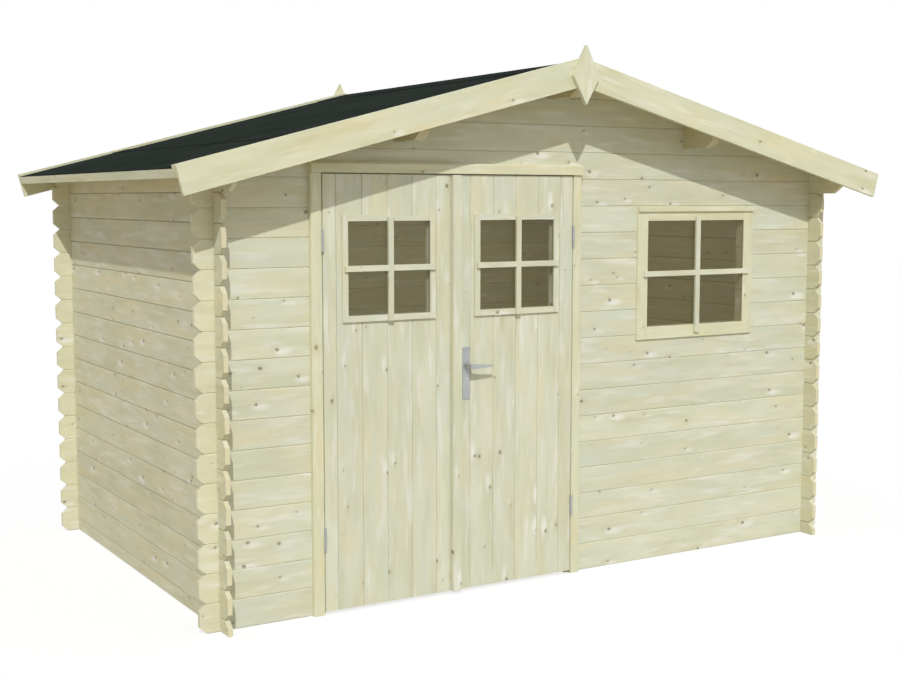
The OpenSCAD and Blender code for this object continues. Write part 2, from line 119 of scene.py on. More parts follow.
def blank_material(name):
    """A new material and its node tree, still empty."""
    made = bpy.data.materials.new(name)
    made.use_nodes = True
    made.node_tree.nodes.clear()
    return made, made.node_tree


def skin(tree, sockets):
    """A Principled surface with these sockets, as what the material shows."""
    surface = node(tree, "BsdfPrincipled", sockets)
    node(tree, "OutputMaterial", {"Surface": surface.outputs[0]})


print("a pale wood of 219, 216, 183 is", np.round(srgb(219, 216, 183), 3).tolist(), "in linear light")

# %% [markdown]
# ## Floor, sky and lamps
#
# The picture is a plain studio view: a white ground, a soft sky and one clear sun from the front left,
# whose shadow of the roof edge lies on the front wall. A weak wide lamp from the right lifts that shadow
# a little. The sky and the floor look white to the camera but shine on the shed at half of that, and a
# Light Path node tells the two apart. The logs' inner faces show through the panes, so a soft lamp hangs
# inside, under the ridge.

# %% World
white = (1, 1, 1, 1)
sky_light = 0.50
sky_look = 1.0
world = bpy.data.worlds.new("studio")
scene.world = world
world.use_nodes = True
tree = world.node_tree
tree.nodes.clear()


def looked_at(tree):
    """1 for rays from the camera, straight or by way of a gloss or a pane, and 0 for light."""
    ray = node(tree, "LightPath").outputs
    by_way = calc(tree, "MAXIMUM", ray["Is Glossy Ray"], ray["Is Transmission Ray"])
    return calc(tree, "MAXIMUM", ray["Is Camera Ray"], by_way)


lighting = node(tree, "Background", {"Color": white, "Strength": sky_light})
showing = node(tree, "Background", {"Color": white, "Strength": sky_look})
both = node(tree, "MixShader", {0: looked_at(tree), 1: lighting.outputs[0], 2: showing.outputs[0]})
node(tree, "OutputWorld", {"Surface": both.outputs[0]})
print("sky lights at", sky_light)

# %% Floor
floor_reach = 30.0
floor_z = -0.0002
floor_glow = 1.03
glow_share = 0.72
floor_bounce = (0.53, 0.50, 0.43, 1)
corners = [(x * floor_reach, y * floor_reach, floor_z) for x, y in ((-1, -1), (1, -1), (1, 1), (-1, 1))]
mesh = bpy.data.meshes.new("floor")
mesh.from_pydata(corners, [], [[0, 1, 2, 3]])
floor = bpy.data.objects.new("floor", mesh)
scene.collection.objects.link(floor)
paper, tree = blank_material("white paper")
bounce = node(tree, "BsdfDiffuse", {"Color": floor_bounce})
shaded = node(tree, "BsdfDiffuse", {"Color": white})
glow = node(tree, "Emission", {"Color": white, "Strength": floor_glow})
bright = node(tree, "MixShader", {0: glow_share, 1: shaded.outputs[0], 2: glow.outputs[0]})
both = node(tree, "MixShader", {0: looked_at(tree), 1: bounce.outputs[0], 2: bright.outputs[0]})
node(tree, "OutputMaterial", {"Surface": both.outputs[0]})
mesh.materials.append(paper)
print("floor", 2 * floor_reach, "m wide")

# %% Lamps
def sunlight(name, path, energy, softness):
    """A sun lamp whose light runs along path; softness is the angle that its disc covers, in degrees."""
    light = bpy.data.lights.new(name, "SUN")
    light.energy = energy
    light.angle = math.radians(softness)
    made = bpy.data.objects.new(name, light)
    flat_run = math.hypot(path[0], path[1])
    made.rotation_euler = (math.atan2(flat_run, -path[2]), 0, math.atan2(-path[0], path[1]))
    scene.collection.objects.link(made)
    print(name, "falls at", round(math.degrees(math.atan2(-path[2], flat_run)), 1), "degrees")


sunlight("sun", path=(0.543, 1.0, -0.969), energy=2.08, softness=0.8)
sunlight("fill", path=(-0.6, 1.0, -0.25), energy=0.26, softness=70)

room_light = bpy.data.lights.new("room light", "AREA")
room_light.shape = "RECTANGLE"
room_light.size = 2.2
room_light.size_y = 1.2
room_light.energy = 6.8
room_light.color = (1.0, 0.94, 0.74)
lamp = bpy.data.objects.new("room_light", room_light)
lamp.location = (0, 0.05, 1.75)
lamp.visible_camera = False
lamp.visible_glossy = False
scene.collection.objects.link(lamp)
scene.view_settings.view_transform = "Standard"
print("room light of", room_light.energy, "W under the ridge")

# %% [markdown]
# ## Planed spruce
#
# Fresh spruce is pale and a little yellow, with soft patches that are cooler or warmer, faint year
# rings, and small brown knots, each with a white flare beside it where the planed grain dives. An image
# could show all that, but it would stretch on a long log. Here the pattern is worked out from the place
# in the wood itself, in metres along, across and through each board, so it runs on round every edge at
# the right size everywhere.

# %% Pattern helpers
def blend(tree, share, a, b):
    """A colour that goes from a to b as share goes from 0 to 1."""
    return node(tree, "Mix", {"Factor": share, 6: a, 7: b}, data_type="RGBA").outputs[2]


def spread(tree, value, low, high, top=1.0):
    """0 at low, top at high, a straight line between, and level beyond both."""
    ends = {"Value": value, "From Min": low, "From Max": high, "To Max": top}
    return node(tree, "MapRange", ends).outputs[0]


def clouds(tree, place, stretch, detail):
    """Noise on coordinates that are multiplied by stretch, so that a small number there draws it out."""
    scaled = vectors(tree, "MULTIPLY", place, stretch)[0]
    settings = {"Vector": scaled, "Scale": 1.0, "Detail": detail, "Roughness": 0.6}
    return node(tree, "TexNoise", settings).outputs


print("blends, ramps and noise are ready")

# %% Where the grain lies
log_h = 0.114
pattern_step = (3.17, 1.31, 0.73)
course_reach = (40, 40, 40)
course_seed = 37.0
# Painted shade along the log joints: it starts this far from a joint and is full this near to it.
seam_shade_start, seam_shade_full = 0.0025, 0.0015
even_tone = 0.5
hair = 0.0002


def lying(order, tilt=0.0, seed=0):
    """Grain of a single piece. Object coordinates, turned by tilt about Y and moved by the seed, are read
    in the given order of axes as along, across and through."""
    def grain(tree):
        spot = node(tree, "TexCoord").outputs["Object"]
        move = [seed * step for step in pattern_step]
        turned = node(tree, "Mapping", {"Vector": spot, "Rotation": (0, tilt, 0), "Location": move})
        axes = node(tree, "SeparateXYZ", {0: turned.outputs[0]}).outputs
        swapped = {i: axes["xyz".index(letter)] for i, letter in enumerate(order)}
        return node(tree, "CombineXYZ", swapped).outputs[0], even_tone
    return grain


def stacked(order, half=0.0, seed=0, seam_shade=0.0):
    """Grain of a wall of logs. The course is the whole number of log heights below a point, and a chance
    number for each course moves the pattern and sets the log's own tone. Within about 2 mm of a joint the
    tone falls by seam_shade, which paints the shade that lies in the groove between two logs."""
    def grain(tree):
        place, _ = lying(order)(tree)
        height = node(tree, "SeparateXYZ", {0: place}).outputs[1]
        courses = calc(tree, "ADD", calc(tree, "DIVIDE", height, log_h), half)
        course = calc(tree, "FLOOR", courses)
        away = calc(tree, "PINGPONG", courses, 0.5)
        # joint is the painted shade in the groove between two logs, taken off the log's tone.
        joint = spread(tree, away, seam_shade_start / log_h, seam_shade_full / log_h, seam_shade)
        number = calc(tree, "ADD", course, course_seed * seed + 0.5)
        chance = node(tree, "TexWhiteNoise", {"W": number}, noise_dimensions="1D").outputs
        move = vectors(tree, "MULTIPLY", chance["Color"], course_reach)[0]
        moved = vectors(tree, "ADD", place, move)[0]
        return moved, calc(tree, "SUBTRACT", chance["Value"], joint)
    return grain


def framed(node_name, board, seed=0):
    """Grain of four boards round an opening. Points nearer to the sides than one board's width belong to
    the uprights, whose grain stands; between them it lies."""
    low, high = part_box(node_name)
    middle, half = (low[0] + high[0]) / 2, (high[0] - low[0]) / 2 - board

    def grain(tree):
        spot = node(tree, "TexCoord").outputs["Object"]
        across = node(tree, "SeparateXYZ", {0: spot}).outputs[0]
        off = calc(tree, "ABSOLUTE", calc(tree, "SUBTRACT", across, middle))
        stands = calc(tree, "GREATER_THAN", off, half + hair)
        rails = lying("xzy", seed=seed)(tree)[0]
        stiles = lying("zxy", seed=seed + 1)(tree)[0]
        pick = node(tree, "Mix", {"Factor": stands, 4: rails, 5: stiles}, data_type="VECTOR")
        return pick.outputs[1], even_tone
    return grain


def sawn_boards(tree):
    """Grain of boards made below, which store it, with a tone for each board, as attributes of their
    points."""
    place = node(tree, "Attribute", attribute_name="grain").outputs["Vector"]
    return place, node(tree, "Attribute", attribute_name="tone").outputs["Fac"]


print("four ways to find the grain, one for each way that wood lies in the shed")

# %% Knots
knot_cells = 7.2
knot_chance = 0.62
knot_size = 0.0125
wobble_size = (60, 60, 60)
wobble = 0.012
flare_shift = (-0.026, 0.004, 0)


def knots(tree, place):
    """Three masks: the knots, the wood that bends round them, and a pale flare beside each. A cell pattern
    gives each patch of the face a centre and a chance colour, and the knot's radius grows as the chance
    falls below knot_chance. The way from the centre, bent by noise, is shortened along the grain, which
    draws all three out."""
    settings = {"Vector": place, "Scale": knot_cells}
    cells = node(tree, "TexVoronoi", settings, voronoi_dimensions="2D").outputs
    chance = node(tree, "SeparateColor", {0: cells["Color"]}).outputs
    radius = calc(tree, "MULTIPLY", calc(tree, "SUBTRACT", knot_chance, chance[0]), knot_size)
    away = vectors(tree, "SUBTRACT", place, cells["Position"])[0]
    noise = clouds(tree, place, wobble_size, 2)["Color"]
    away = vectors(tree, "MULTIPLY_ADD", noise, (wobble, wobble, 0), away)[0]
    centre = (-wobble / 2, -wobble / 2, 0)

    def within(times, shift, squeeze, soft):
        """1 where the squeezed way from the shifted centre is shorter than some radii, with a soft edge."""
        moved = vectors(tree, "ADD", away, shift)[0]
        drawn = vectors(tree, "MULTIPLY", moved, squeeze)[0]
        far = vectors(tree, "LENGTH", drawn)["Value"]
        return spread(tree, calc(tree, "SUBTRACT", calc(tree, "MULTIPLY", radius, times), far), *soft)

    core = within(times=1.0, shift=centre, squeeze=(0.75, 1, 0), soft=(-0.0025, 0.0045))
    bend = within(times=3.4, shift=centre, squeeze=(0.4, 1, 0), soft=(0.0, 0.016))
    flare = within(times=2.6, shift=flare_shift, squeeze=(0.34, 1, 0), soft=(-0.002, 0.012))
    return core, bend, calc(tree, "MULTIPLY", flare, spread(tree, chance[1], 0.15, 0.6))


print("knots in about", round(100 * knot_chance), "of 100 cells, with", knot_cells, "cells to a metre")

# %% Spruce
patch_size = (2.4, 11, 11)
streak_size = (4.5, 30, 30)
fibre_size = (9, 420, 420)
ring_size = (0.10, 1, 1)
no_corner = 9.0
corner_fade = 0.01


def spruce(name, grain, tints, bump=0.35, along=None, corner=no_corner):
    """Slow patches between a darker and a lighter tint, then warm and cool ones, dark and pale streaks,
    faint year rings, the knots with their flares, and last the board's own tone, which on walls of logs
    can also hold the painted shade at their joints. tints are dark, light, warm, cool, streak, knot, flare
    and end. Faces that look along the named axis show the end tint with arcs of year rings, and it tinges
    the log from the corner outward, where the wood dries first."""
    made, tree = blank_material(name)
    place, tone = grain(tree)
    dark, light, warm, cool, streak, knot, pale, end = tints
    patches = node(tree, "SeparateColor", {0: clouds(tree, place, patch_size, 2)["Color"]}).outputs
    streaks = node(tree, "SeparateColor", {0: clouds(tree, place, streak_size, 2)["Color"]}).outputs
    fibres = clouds(tree, place, fibre_size, 2)[0]
    core, bend, flare = knots(tree, place)
    settings = {"Vector": vectors(tree, "MULTIPLY", place, ring_size)[0], "Scale": 26.0, "Distortion": 7.0,
                "Detail": 2.0, "Detail Scale": 0.7, "Phase Offset": calc(tree, "MULTIPLY", bend, 5.0)}
    rings = node(tree, "TexWave", settings, bands_direction="Y").outputs["Fac"]
    colour = blend(tree, spread(tree, patches[0], 0.36, 0.64), dark, light)
    colour = blend(tree, spread(tree, patches[1], 0.46, 0.68, 0.8), colour, warm)
    colour = blend(tree, spread(tree, patches[2], 0.48, 0.70, 0.8), colour, cool)
    if along:
        axes = node(tree, "SeparateXYZ", {0: node(tree, "TexCoord").outputs["Object"]}).outputs
        reach = calc(tree, "ABSOLUTE", axes["xyz".index(along)])
        colour = blend(tree, spread(tree, reach, corner, corner + corner_fade, 0.7), colour, end)
    colour = blend(tree, spread(tree, streaks[0], 0.52, 0.80, 0.4), colour, streak)
    colour = blend(tree, spread(tree, streaks[1], 0.54, 0.78, 0.65), colour, pale)
    details = ((rings, 0.04, streak), (bend, 0.3, streak), (flare, 0.85, pale), (core, 0.8, knot))
    for mask, share, tint in details:
        colour = blend(tree, calc(tree, "MULTIPLY", mask, share), colour, tint)
    if along:
        facing = node(tree, "TexCoord").outputs["Normal"]
        axis = [float(letter == along) for letter in "xyz"]
        looks = calc(tree, "ABSOLUTE", vectors(tree, "DOT_PRODUCT", facing, axis)["Value"])
        settings = {"Vector": place, "Scale": 90.0, "Distortion": 2.0}
        arcs = node(tree, "TexWave", settings, wave_type="RINGS", rings_direction="X").outputs["Fac"]
        cut = blend(tree, calc(tree, "MULTIPLY", arcs, 0.12), end, streak)
        colour = blend(tree, spread(tree, looks, 0.85, 0.95, 0.8), colour, cut)
    shade = calc(tree, "ADD", calc(tree, "MULTIPLY", tone, 0.06), 0.97)
    colour = node(tree, "VectorMath", {0: colour, "Scale": shade}, operation="SCALE").outputs[0]
    relief = calc(tree, "MULTIPLY", streaks[0], 0.6)
    relief = calc(tree, "ADD", relief, calc(tree, "MULTIPLY", fibres, 0.4))
    relief = calc(tree, "ADD", relief, calc(tree, "MULTIPLY", rings, 0.2))
    normal = node(tree, "Bump", {"Height": relief, "Strength": bump, "Distance": 0.001}).outputs[0]
    gloss = calc(tree, "ADD", spread(tree, streaks[0], 0.3, 0.7, 0.2), 0.6)
    skin(tree, {"Base Color": colour, "Normal": normal, "Specular IOR Level": 0.25, "Roughness": gloss})
    return made


fresh_wood = ((206, 206, 177), (217, 217, 193), (219, 212, 178), (208, 212, 191), (193, 186, 150),
              (116, 109, 72), (234, 233, 223), (224, 218, 184))
sawn_wood = ((226, 208, 152), (233, 212, 152), (233, 205, 144), (226, 210, 158), (194, 166, 106),
             (108, 84, 50), (230, 215, 180), (205, 188, 140))


def tinted(red, green, blue):
    """The tints of fresh wood, each moved by the same steps of red, green and blue."""
    return [srgb(r + red, g + green, b + blue) for r, g, b in fresh_wood]


# The side walls' tints are a little warmer than the end walls', a painted tint for the warmer light that
# falls on the side walls.
sides = tinted(0, -2, -5)
planed = tinted(1, 2, 4)
warm = tinted(6, 5, 0)
# The darker beam tints serve the purlins, and on the window liner they paint the shade in the window's
# reveal.
beam_and_reveal_shade = tinted(-10, -17, -28)
rough = [srgb(*tint) for tint in sawn_wood]
rough_bump = 0.6
print("five sets of tints:", len(fresh_wood), "tints in each")

# %% Finish the logs
def finish(material, *names):
    """Puts a material on pieces of the frame."""
    for name in names:
        for place in frame["nodes"][name].material_slots:
            place.material = material


side_walls = ("left_wall", "right_wall")
half_log = 0.5
# Only the side walls' logs get painted shade along their joints; the end walls' logs get none.
side_seam_shade = 4.0
for seed, name in enumerate(side_walls):
    finish(spruce(f"{name} logs", stacked("yzx", half_log, seed, side_seam_shade), sides, along="y"), name)
corner_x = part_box("right_wall")[1][0]
end_walls = ("back_wall", "back_gable", "front_wall_left", "front_wall_right", "front_gable")
for seed, name in enumerate(end_walls, 3):
    finish(spruce(f"{name} logs", stacked("xzy", 0.0, seed), planed, along="x", corner=corner_x), name)
print("logs finished on", len(side_walls + end_walls), "walls")

# %% Finish the planed boards and beams
roof_slope = math.radians(14.6)
single_boards = {
    "front_left_barge": ("xzy", roof_slope), "front_right_barge": ("xzy", -roof_slope),
    "back_left_barge": ("xzy", roof_slope), "back_right_barge": ("xzy", -roof_slope),
    "front_verge_battens": ("xzy", 0.0), "back_verge_battens": ("xzy", 0.0),
    "left_eave_strip": ("yzx", 0.0), "right_eave_strip": ("yzx", 0.0),
    "front_finial": ("zxy", 0.0), "back_finial": ("zxy", 0.0),
    "left_door_jamb": ("zxy", 0.0), "right_door_jamb": ("zxy", 0.0), "door_head": ("xzy", 0.0),
    "window_drip": ("xzy", 0.0), "left_door_ledges": ("xzy", 0.0), "right_door_ledges": ("xzy", 0.0),
}
for seed, (name, (order, tilt)) in enumerate(single_boards.items(), 23):
    finish(spruce(f"{name} wood", lying(order, tilt, seed), warm, along=order[0]), name)
casings = {"window_casing": 0.056, "left_door_window_frame": 0.024, "right_door_window_frame": 0.024}
for seed, (name, board) in enumerate(casings.items(), 40):
    tints = planed if "door" in name else warm
    finish(spruce(f"{name} wood", framed(name, board, 2 * seed), tints), name)
finish(spruce("door_cover_strip wood", lying("zxy", 0.0, 50), planed, along="z"), "door_cover_strip")
# The window liner takes the darker beam tints, which paint the shade that lies in the reveal of the window
# hole.
liner_board = 0.0336
finish(spruce("window_liner wood", framed("window_liner", liner_board, 100), beam_and_reveal_shade), "window_liner")
beams = ("ridge_purlin", "left_purlin", "right_purlin")
for seed, name in enumerate(beams, 60):
    finish(spruce(f"{name} wood", lying("yzx", 0.0, seed), beam_and_reveal_shade, rough_bump, "y"), name)
print(len(single_boards) + 1, "boards,", len(casings) + 1, "frames and", len(beams), "beams finished")

# %% [markdown]
# ## Glass, metal and felt
#
# The panes are plain glass that dims the room behind them to a warm brown. Real refraction would stop
# the sun at the pane, so the glass is a thin dark film with a gloss, which lets part of all light
# through. The hinges and the handle are zinc with a satin brushing, and the felt is dark with a crust of
# fine grit.

# %% Glass
film_tint = (0.10, 0.084, 0.036, 1)
film_alpha = 0.20


def window_glass():
    """A see-through film: the alpha says how much of the light it keeps, and slow noise gives it a faint
    wave."""
    made, tree = blank_material("window glass")
    place = node(tree, "TexCoord").outputs["Object"]
    waves = clouds(tree, place, (5, 5, 5), 1)[0]
    normal = node(tree, "Bump", {"Height": waves, "Strength": 0.08, "Distance": 0.004}).outputs[0]
    haze = spread(tree, clouds(tree, place, (40, 40, 40), 3)[0], 0.3, 0.7, 0.06)
    gloss = calc(tree, "ADD", haze, 0.04)
    skin(tree, {"Base Color": film_tint, "Alpha": film_alpha, "Roughness": gloss, "Normal": normal})
    return made


finish(window_glass(), "window_glass", "left_door_glass", "right_door_glass")
print("three panes glazed")

# %% Metal
def satin_zinc():
    """Pale metal whose brushing is fine noise drawn out upward, with slow patches in colour and gloss."""
    made, tree = blank_material("satin zinc")
    place = node(tree, "TexCoord").outputs["Object"]
    brush = clouds(tree, place, (900, 900, 60), 2)[0]
    patches = clouds(tree, place, (14, 14, 14), 2)[0]
    colour = blend(tree, spread(tree, patches, 0.35, 0.65), srgb(168, 172, 172), srgb(180, 184, 184))
    normal = node(tree, "Bump", {"Height": brush, "Strength": 0.06, "Distance": 0.0003}).outputs[0]
    gloss = calc(tree, "ADD", spread(tree, patches, 0.3, 0.7, 0.12), 0.36)
    skin(tree, {"Base Color": colour, "Metallic": 0.3, "Normal": normal, "Roughness": gloss})
    return made


zinc = satin_zinc()
finish(zinc, "jamb_hinges", "left_door_hinges", "right_door_hinges")
print("hinges in", zinc.name)

# %% Felt
def grit_felt():
    """Dark felt: fine grit as noise of about a millimetre, over slow patches of two near blacks."""
    made, tree = blank_material("grit felt")
    place = node(tree, "TexCoord").outputs["Object"]
    grit = clouds(tree, place, (700, 700, 700), 2)[0]
    patches = clouds(tree, place, (3, 3, 3), 3)[0]
    colour = blend(tree, spread(tree, patches, 0.35, 0.65), srgb(40, 46, 42), srgb(48, 54, 50))
    colour = blend(tree, spread(tree, grit, 0.5, 0.75, 0.5), colour, srgb(70, 76, 71))
    normal = node(tree, "Bump", {"Height": grit, "Strength": 0.5, "Distance": 0.001}).outputs[0]
    skin(tree, {"Base Color": colour, "Normal": normal, "Roughness": 0.95, "Specular IOR Level": 0.0})
    return made


felt = grit_felt()
print("felt mixed:", felt.name)

# %% [markdown]
# ## From arrays to pieces
#
# Boards, bars and handles are all one idea: an outline carried along a path. Blender's curves can do
# that with a bevel object, but arrays keep exact sizes and let each board remember its own grain. The
# helper below places every point of every station at once, and closes both ends.

# %% Outlines along paths
def carry(outline, path, across, up):
    """An outline carried along a path: its point (a, b) at station i lies at path[i] + a * across + b * up.
    Across and up, which may turn from station to station, cross along the path; both ends are closed."""
    path = np.asarray(path, float)
    outline = np.broadcast_to(outline, (len(path),) + np.shape(outline)[-2:])
    across, up = (np.broadcast_to(v, path.shape)[:, None] for v in (across, up))
    points = path[:, None] + outline[..., :1] * across + outline[..., 1:] * up
    count = points.shape[1]
    ring = np.arange(count)
    onward = np.roll(ring, -1)
    start = np.arange(len(path) - 1)[:, None] * count
    band = np.stack([start + ring, start + onward, start + count + onward, start + count + ring], axis=-1)
    ends = [ring[::-1].tolist(), (ring + points.size // 3 - count).tolist()]
    return points.reshape(-1, 3), band.reshape(-1, 4).tolist() + ends


def joined(shapes):
    """Several shapes as one: the indices in each shape's faces move up by the number of points before."""
    starts = np.cumsum([0] + [len(points) for points, _ in shapes])
    faces = [[int(start) + i for i in face] for start, (_, part) in zip(starts, shapes) for face in part]
    return np.concatenate([points for points, _ in shapes]), faces


def piece(name, shape, body, material):
    """A mesh of one shape in one material, which moves with a body of the frame."""
    mesh = bpy.data.meshes.new(name)
    mesh.from_pydata(shape[0].tolist(), [], shape[1])
    mesh.materials.append(material)
    made = bpy.data.objects.new(name, mesh)
    scene.collection.objects.link(made)
    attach(made, body)
    return made


print("shapes can be carried, joined and placed")

# %% Boards that remember their grain
chance = np.random.default_rng(11)
most_boards = 400
farthest = 40
board_moves = chance.uniform(0, farthest, (most_boards, 3))
board_tones = chance.uniform(0, 1, most_boards)
joint_bevel = 0.0022
joint_gap = 0.0005
X, Y, Z = np.eye(3)


def boards(name, planks, body, material):
    """Boards as one piece. Each plank is a shape, its direction along, its direction across and its number;
    its points store their place along, across and through it, moved by the chance that goes with the
    number."""
    made = piece(name, joined([plank[0] for plank in planks]), body, material)
    grain = [shape[0] @ np.stack([along, across, np.cross(along, across)], axis=1) + board_moves[number]
             for shape, along, across, number in planks]
    tone = [np.full(len(shape[0]), board_tones[number]) for shape, _, _, number in planks]
    places = made.data.attributes.new("grain", "FLOAT_VECTOR", "POINT")
    places.data.foreach_set("vector", np.concatenate(grain).ravel())
    tones = made.data.attributes.new("tone", "FLOAT", "POINT")
    tones.data.foreach_set("value", np.concatenate(tone))
    print(name, "has", len(planks), "boards")
    return made


def plank_outline(width, thick, first, last, gap=0.0):
    """A board's outline from its back: its two front edges are planed off by first and last, and its back
    edges by half of that. A gap sets the front half back where an edge is planed deeply, so that the joint
    with the next board shows dark."""
    a, b = (gap if bevel >= joint_bevel else 0.0 for bevel in (first, last))
    back = [(first / 2, 0), (width - last / 2, 0), (width, last / 2), (width, thick / 2)]
    front = [(width - b, thick / 2), (width - b, thick - last), (width - b - last, thick),
             (a + first, thick), (a, thick - first), (a, thick / 2)]
    return np.array(back + front + [(0, thick / 2), (0, first / 2)])


board_wood = spruce("board wood", sawn_boards, planed)
rough_wood = spruce("rough board wood", sawn_boards, rough, rough_bump)
print("two woods for boards:", board_wood.name, "and", rough_wood.name)

# %% [markdown]
# ## Door boards
#
# Each leaf is a row of upright boards with planed edges, which meet in a V. A bump could draw the
# joints, but the low sun catches their slopes, so they are real. A board that meets the window hole, or
# the hole for the handle's spindle, is cut into the pieces that are left round it. Thin lips stand
# behind the gaps at the left leaf's free edge and at the right jamb, so that no daylight or darkness
# shows through them.

# %% Door boards
board_w = 0.11175
least_board = 0.02
left_edge_board, right_edge_board = 0.057, 0.064
sharp_edge = 0.0004
pane_room = 0.0004
spindle_room = 0.0065
lip_front, lip_back = 0.002, 0.012
meeting_gap, meeting_w = 0.0001, 0.0041
jamb_gap, jamb_w = 0.0006, 0.0018
joints = {joint["name"]: joint for joint in frame["record"]["behaviour"]["joints"]}
lever_axis = joints["lever_turn"]["pos_m"]


def left_round(rect, hole):
    """What is left of the rectangle x0, x1, z0, z1 round a hole: below, above, and beside it."""
    x0, x1, z0, z1 = rect
    a0, a1, c0, c1 = hole
    if a1 <= x0 or a0 >= x1 or c1 <= z0 or c0 >= z1:
        return [rect]
    rest = [(x0, x1, z0, c0), (x0, x1, c1, z1), (x0, a0, c0, c1), (a1, x1, c0, c1)]
    return [r for r in rest if r[1] - r[0] > sharp_edge and r[3] - r[2] > sharp_edge]


def upright(rect, y_front, y_back, bevels):
    """An upright board over rect, with the bevels of its right and left front edges."""
    x0, x1, z0, z1 = rect
    outline = plank_outline(x1 - x0, y_back - y_front, *bevels, joint_gap)
    return carry(outline, [(x1, y_back, z0), (x1, y_back, z1)], -X, -Y)


def gap_lip(side, x0, width, number):
    """An upright slip in a gap beside a leaf, a little behind the leaf's face."""
    low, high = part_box(f"{side}_door_leaf")
    rect = (x0, x0 + width, low[2], high[2])
    return upright(rect, low[1] + lip_front, low[1] + lip_back, (sharp_edge, sharp_edge)), Z, X, number


def door_boards(side, edges, holes, first_number, lips=()):
    """The boards between the edges of a leaf, without its holes, and the lips that are fixed to them."""
    low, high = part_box(f"{side}_door_leaf")
    planks = list(lips)
    for number, (x0, x1) in enumerate(zip(edges[:-1], edges[1:]), first_number):
        rects = [(x0, x1, low[2], high[2])]
        for hole in holes:
            rects = [part for rect in rects for part in left_round(rect, hole)]
        for rect in rects:
            whole = (rect[1] == x1, rect[0] == x0)
            bevels = [joint_bevel if edge else sharp_edge for edge in whole]
            planks.append((upright(rect, low[1], high[1], bevels), Z, X, number))
    made = boards(f"{side}_door_boards", planks, f"{side}_door", board_wood)
    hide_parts(f"{side}_door_leaf")


def hole_of(name, room):
    """The opening in X and Z round a piece of the frame, with room all round it."""
    low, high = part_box(name)
    return low[0] - room, high[0] + room, low[2] - room, high[2] + room


spindle_hole = (lever_axis[0] - spindle_room, lever_axis[0] + spindle_room,
                lever_axis[2] - spindle_room, lever_axis[2] + spindle_room)
low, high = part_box("left_door_leaf")
inner = np.arange(low[0] + left_edge_board, high[0] - least_board, board_w).tolist()
holes = [hole_of("left_door_glass", pane_room)]
meeting_lip = gap_lip("left", high[0] + meeting_gap, meeting_w, number=8)
door_boards("left", [low[0], *inner, high[0]], holes, first_number=0, lips=[meeting_lip])
low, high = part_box("right_door_leaf")
inner = np.arange(high[0] - right_edge_board, low[0] + least_board, -board_w)[::-1].tolist()
holes = [hole_of("right_door_glass", pane_room), spindle_hole]
door_boards("right", [low[0], *inner, high[0]], holes, first_number=10)
jamb_lip = gap_lip("right", high[0] + jamb_gap, jamb_w, number=19)
boards("jamb_lip", [jamb_lip], "shed", board_wood)

# %% [markdown]
# ## Glazing bars
#
# A wooden cross divides each pane into four. The bars are slips that run on over the frame, a little
# short of its outer edge, and stand proud of it, so each throws a thin shadow on the frame. A narrow web
# behind each slip meets the glass. The level bar is in two halves that butt against the upright one, as
# a joiner would make it.

# %% Glazing bars
bar_arris = 0.0012
proud, web = 0.012, 0.008
glass_room = 0.0001
door_reach, door_widths = (0.017, 0.017, 0.024, 0.014), (0.0235, 0.0235)
window_reach, window_widths = (0.024, 0.024, 0.035, 0.018), (0.025, 0.024)


def slip(x0, x1, z0, z1, y_front, y_back, number):
    """A bar with lightly planed front edges; its grain runs along its longer side."""
    stands = z1 - z0 > x1 - x0
    if stands:
        return upright((x0, x1, z0, z1), y_front, y_back, (bar_arris, bar_arris)), Z, X, number
    outline = plank_outline(z1 - z0, y_back - y_front, bar_arris, bar_arris)
    return carry(outline, [(x0, y_back, z0), (x1, y_back, z0)], Z, -Y), X, Z, number


def cross(opening, reach, widths, y_front, y_back, number):
    """A cross over an opening: reach is how far its bars run past the left, right, lower and upper
    edges."""
    x0, x1, z0, z1 = opening
    x, z = (x0 + x1) / 2, (z0 + z1) / 2
    stile, rail = widths[0] / 2, widths[1] / 2
    left, right, lower, upper = reach
    return [slip(x - stile, x + stile, z0 - lower, z1 + upper, y_front, y_back, number),
            slip(x0 - left, x - stile, z - rail, z + rail, y_front, y_back, number + 1),
            slip(x + stile, x1 + right, z - rail, z + rail, y_front, y_back, number + 1)]


def glazing_bars(name, body, rim, pane, reach, widths, number):
    """The cross of a window: slips over the rim's face and webs from there to the pane."""
    face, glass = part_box(rim)[0][1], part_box(pane)[0][1]
    opening = hole_of(rim, -casings[rim])
    planks = cross(opening, reach, widths, face - proud, face, number)
    planks += cross(opening, (0, 0, 0, 0), (web, web), face, glass - glass_room, number)
    boards(name, planks, body, board_wood)


for side, number in (("left", 30), ("right", 36)):
    glazing_bars(f"{side}_door_bars", f"{side}_door", f"{side}_door_window_frame", f"{side}_door_glass",
                 door_reach, door_widths, number)
glazing_bars("window_bars", "shed", "window_casing", "window_glass", window_reach, window_widths, 42)

# %% [markdown]
# ## Roof boards
#
# The roof boards run from the ridge down to the eaves, over the purlins, and show from below, both at
# the eaves and in the room. They are carried down the right-hand slope, plumb at the ridge and square at
# the eave, and the left half is a mirror image with boards of its own.

# %% Roof boards
fit = 0.0004
ridge_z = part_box("ridge_purlin")[1][2] + fit
deck_low, deck_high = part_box("right_roof_deck")
deck_t = 0.019
slope_cos, slope_sin = math.cos(roof_slope), math.sin(roof_slope)
down = np.array([slope_cos, 0, -slope_sin])
out = np.array([slope_sin, 0, slope_cos])


def on_slope(s, y, n):
    """A point of the right-hand slope: s down from the ridge, y along it, n out of the underside."""
    s, y, n = np.broadcast_arrays(s, y, n)
    return np.multiply.outer(s, down) + np.multiply.outer(y, Y) + np.multiply.outer(n, out) + ridge_z * Z


def mirrored(shape):
    """The same shape on the left half: X changes sign, and so does the order round each face."""
    points, faces = shape
    return points * (-1, 1, 1), [face[::-1] for face in faces]


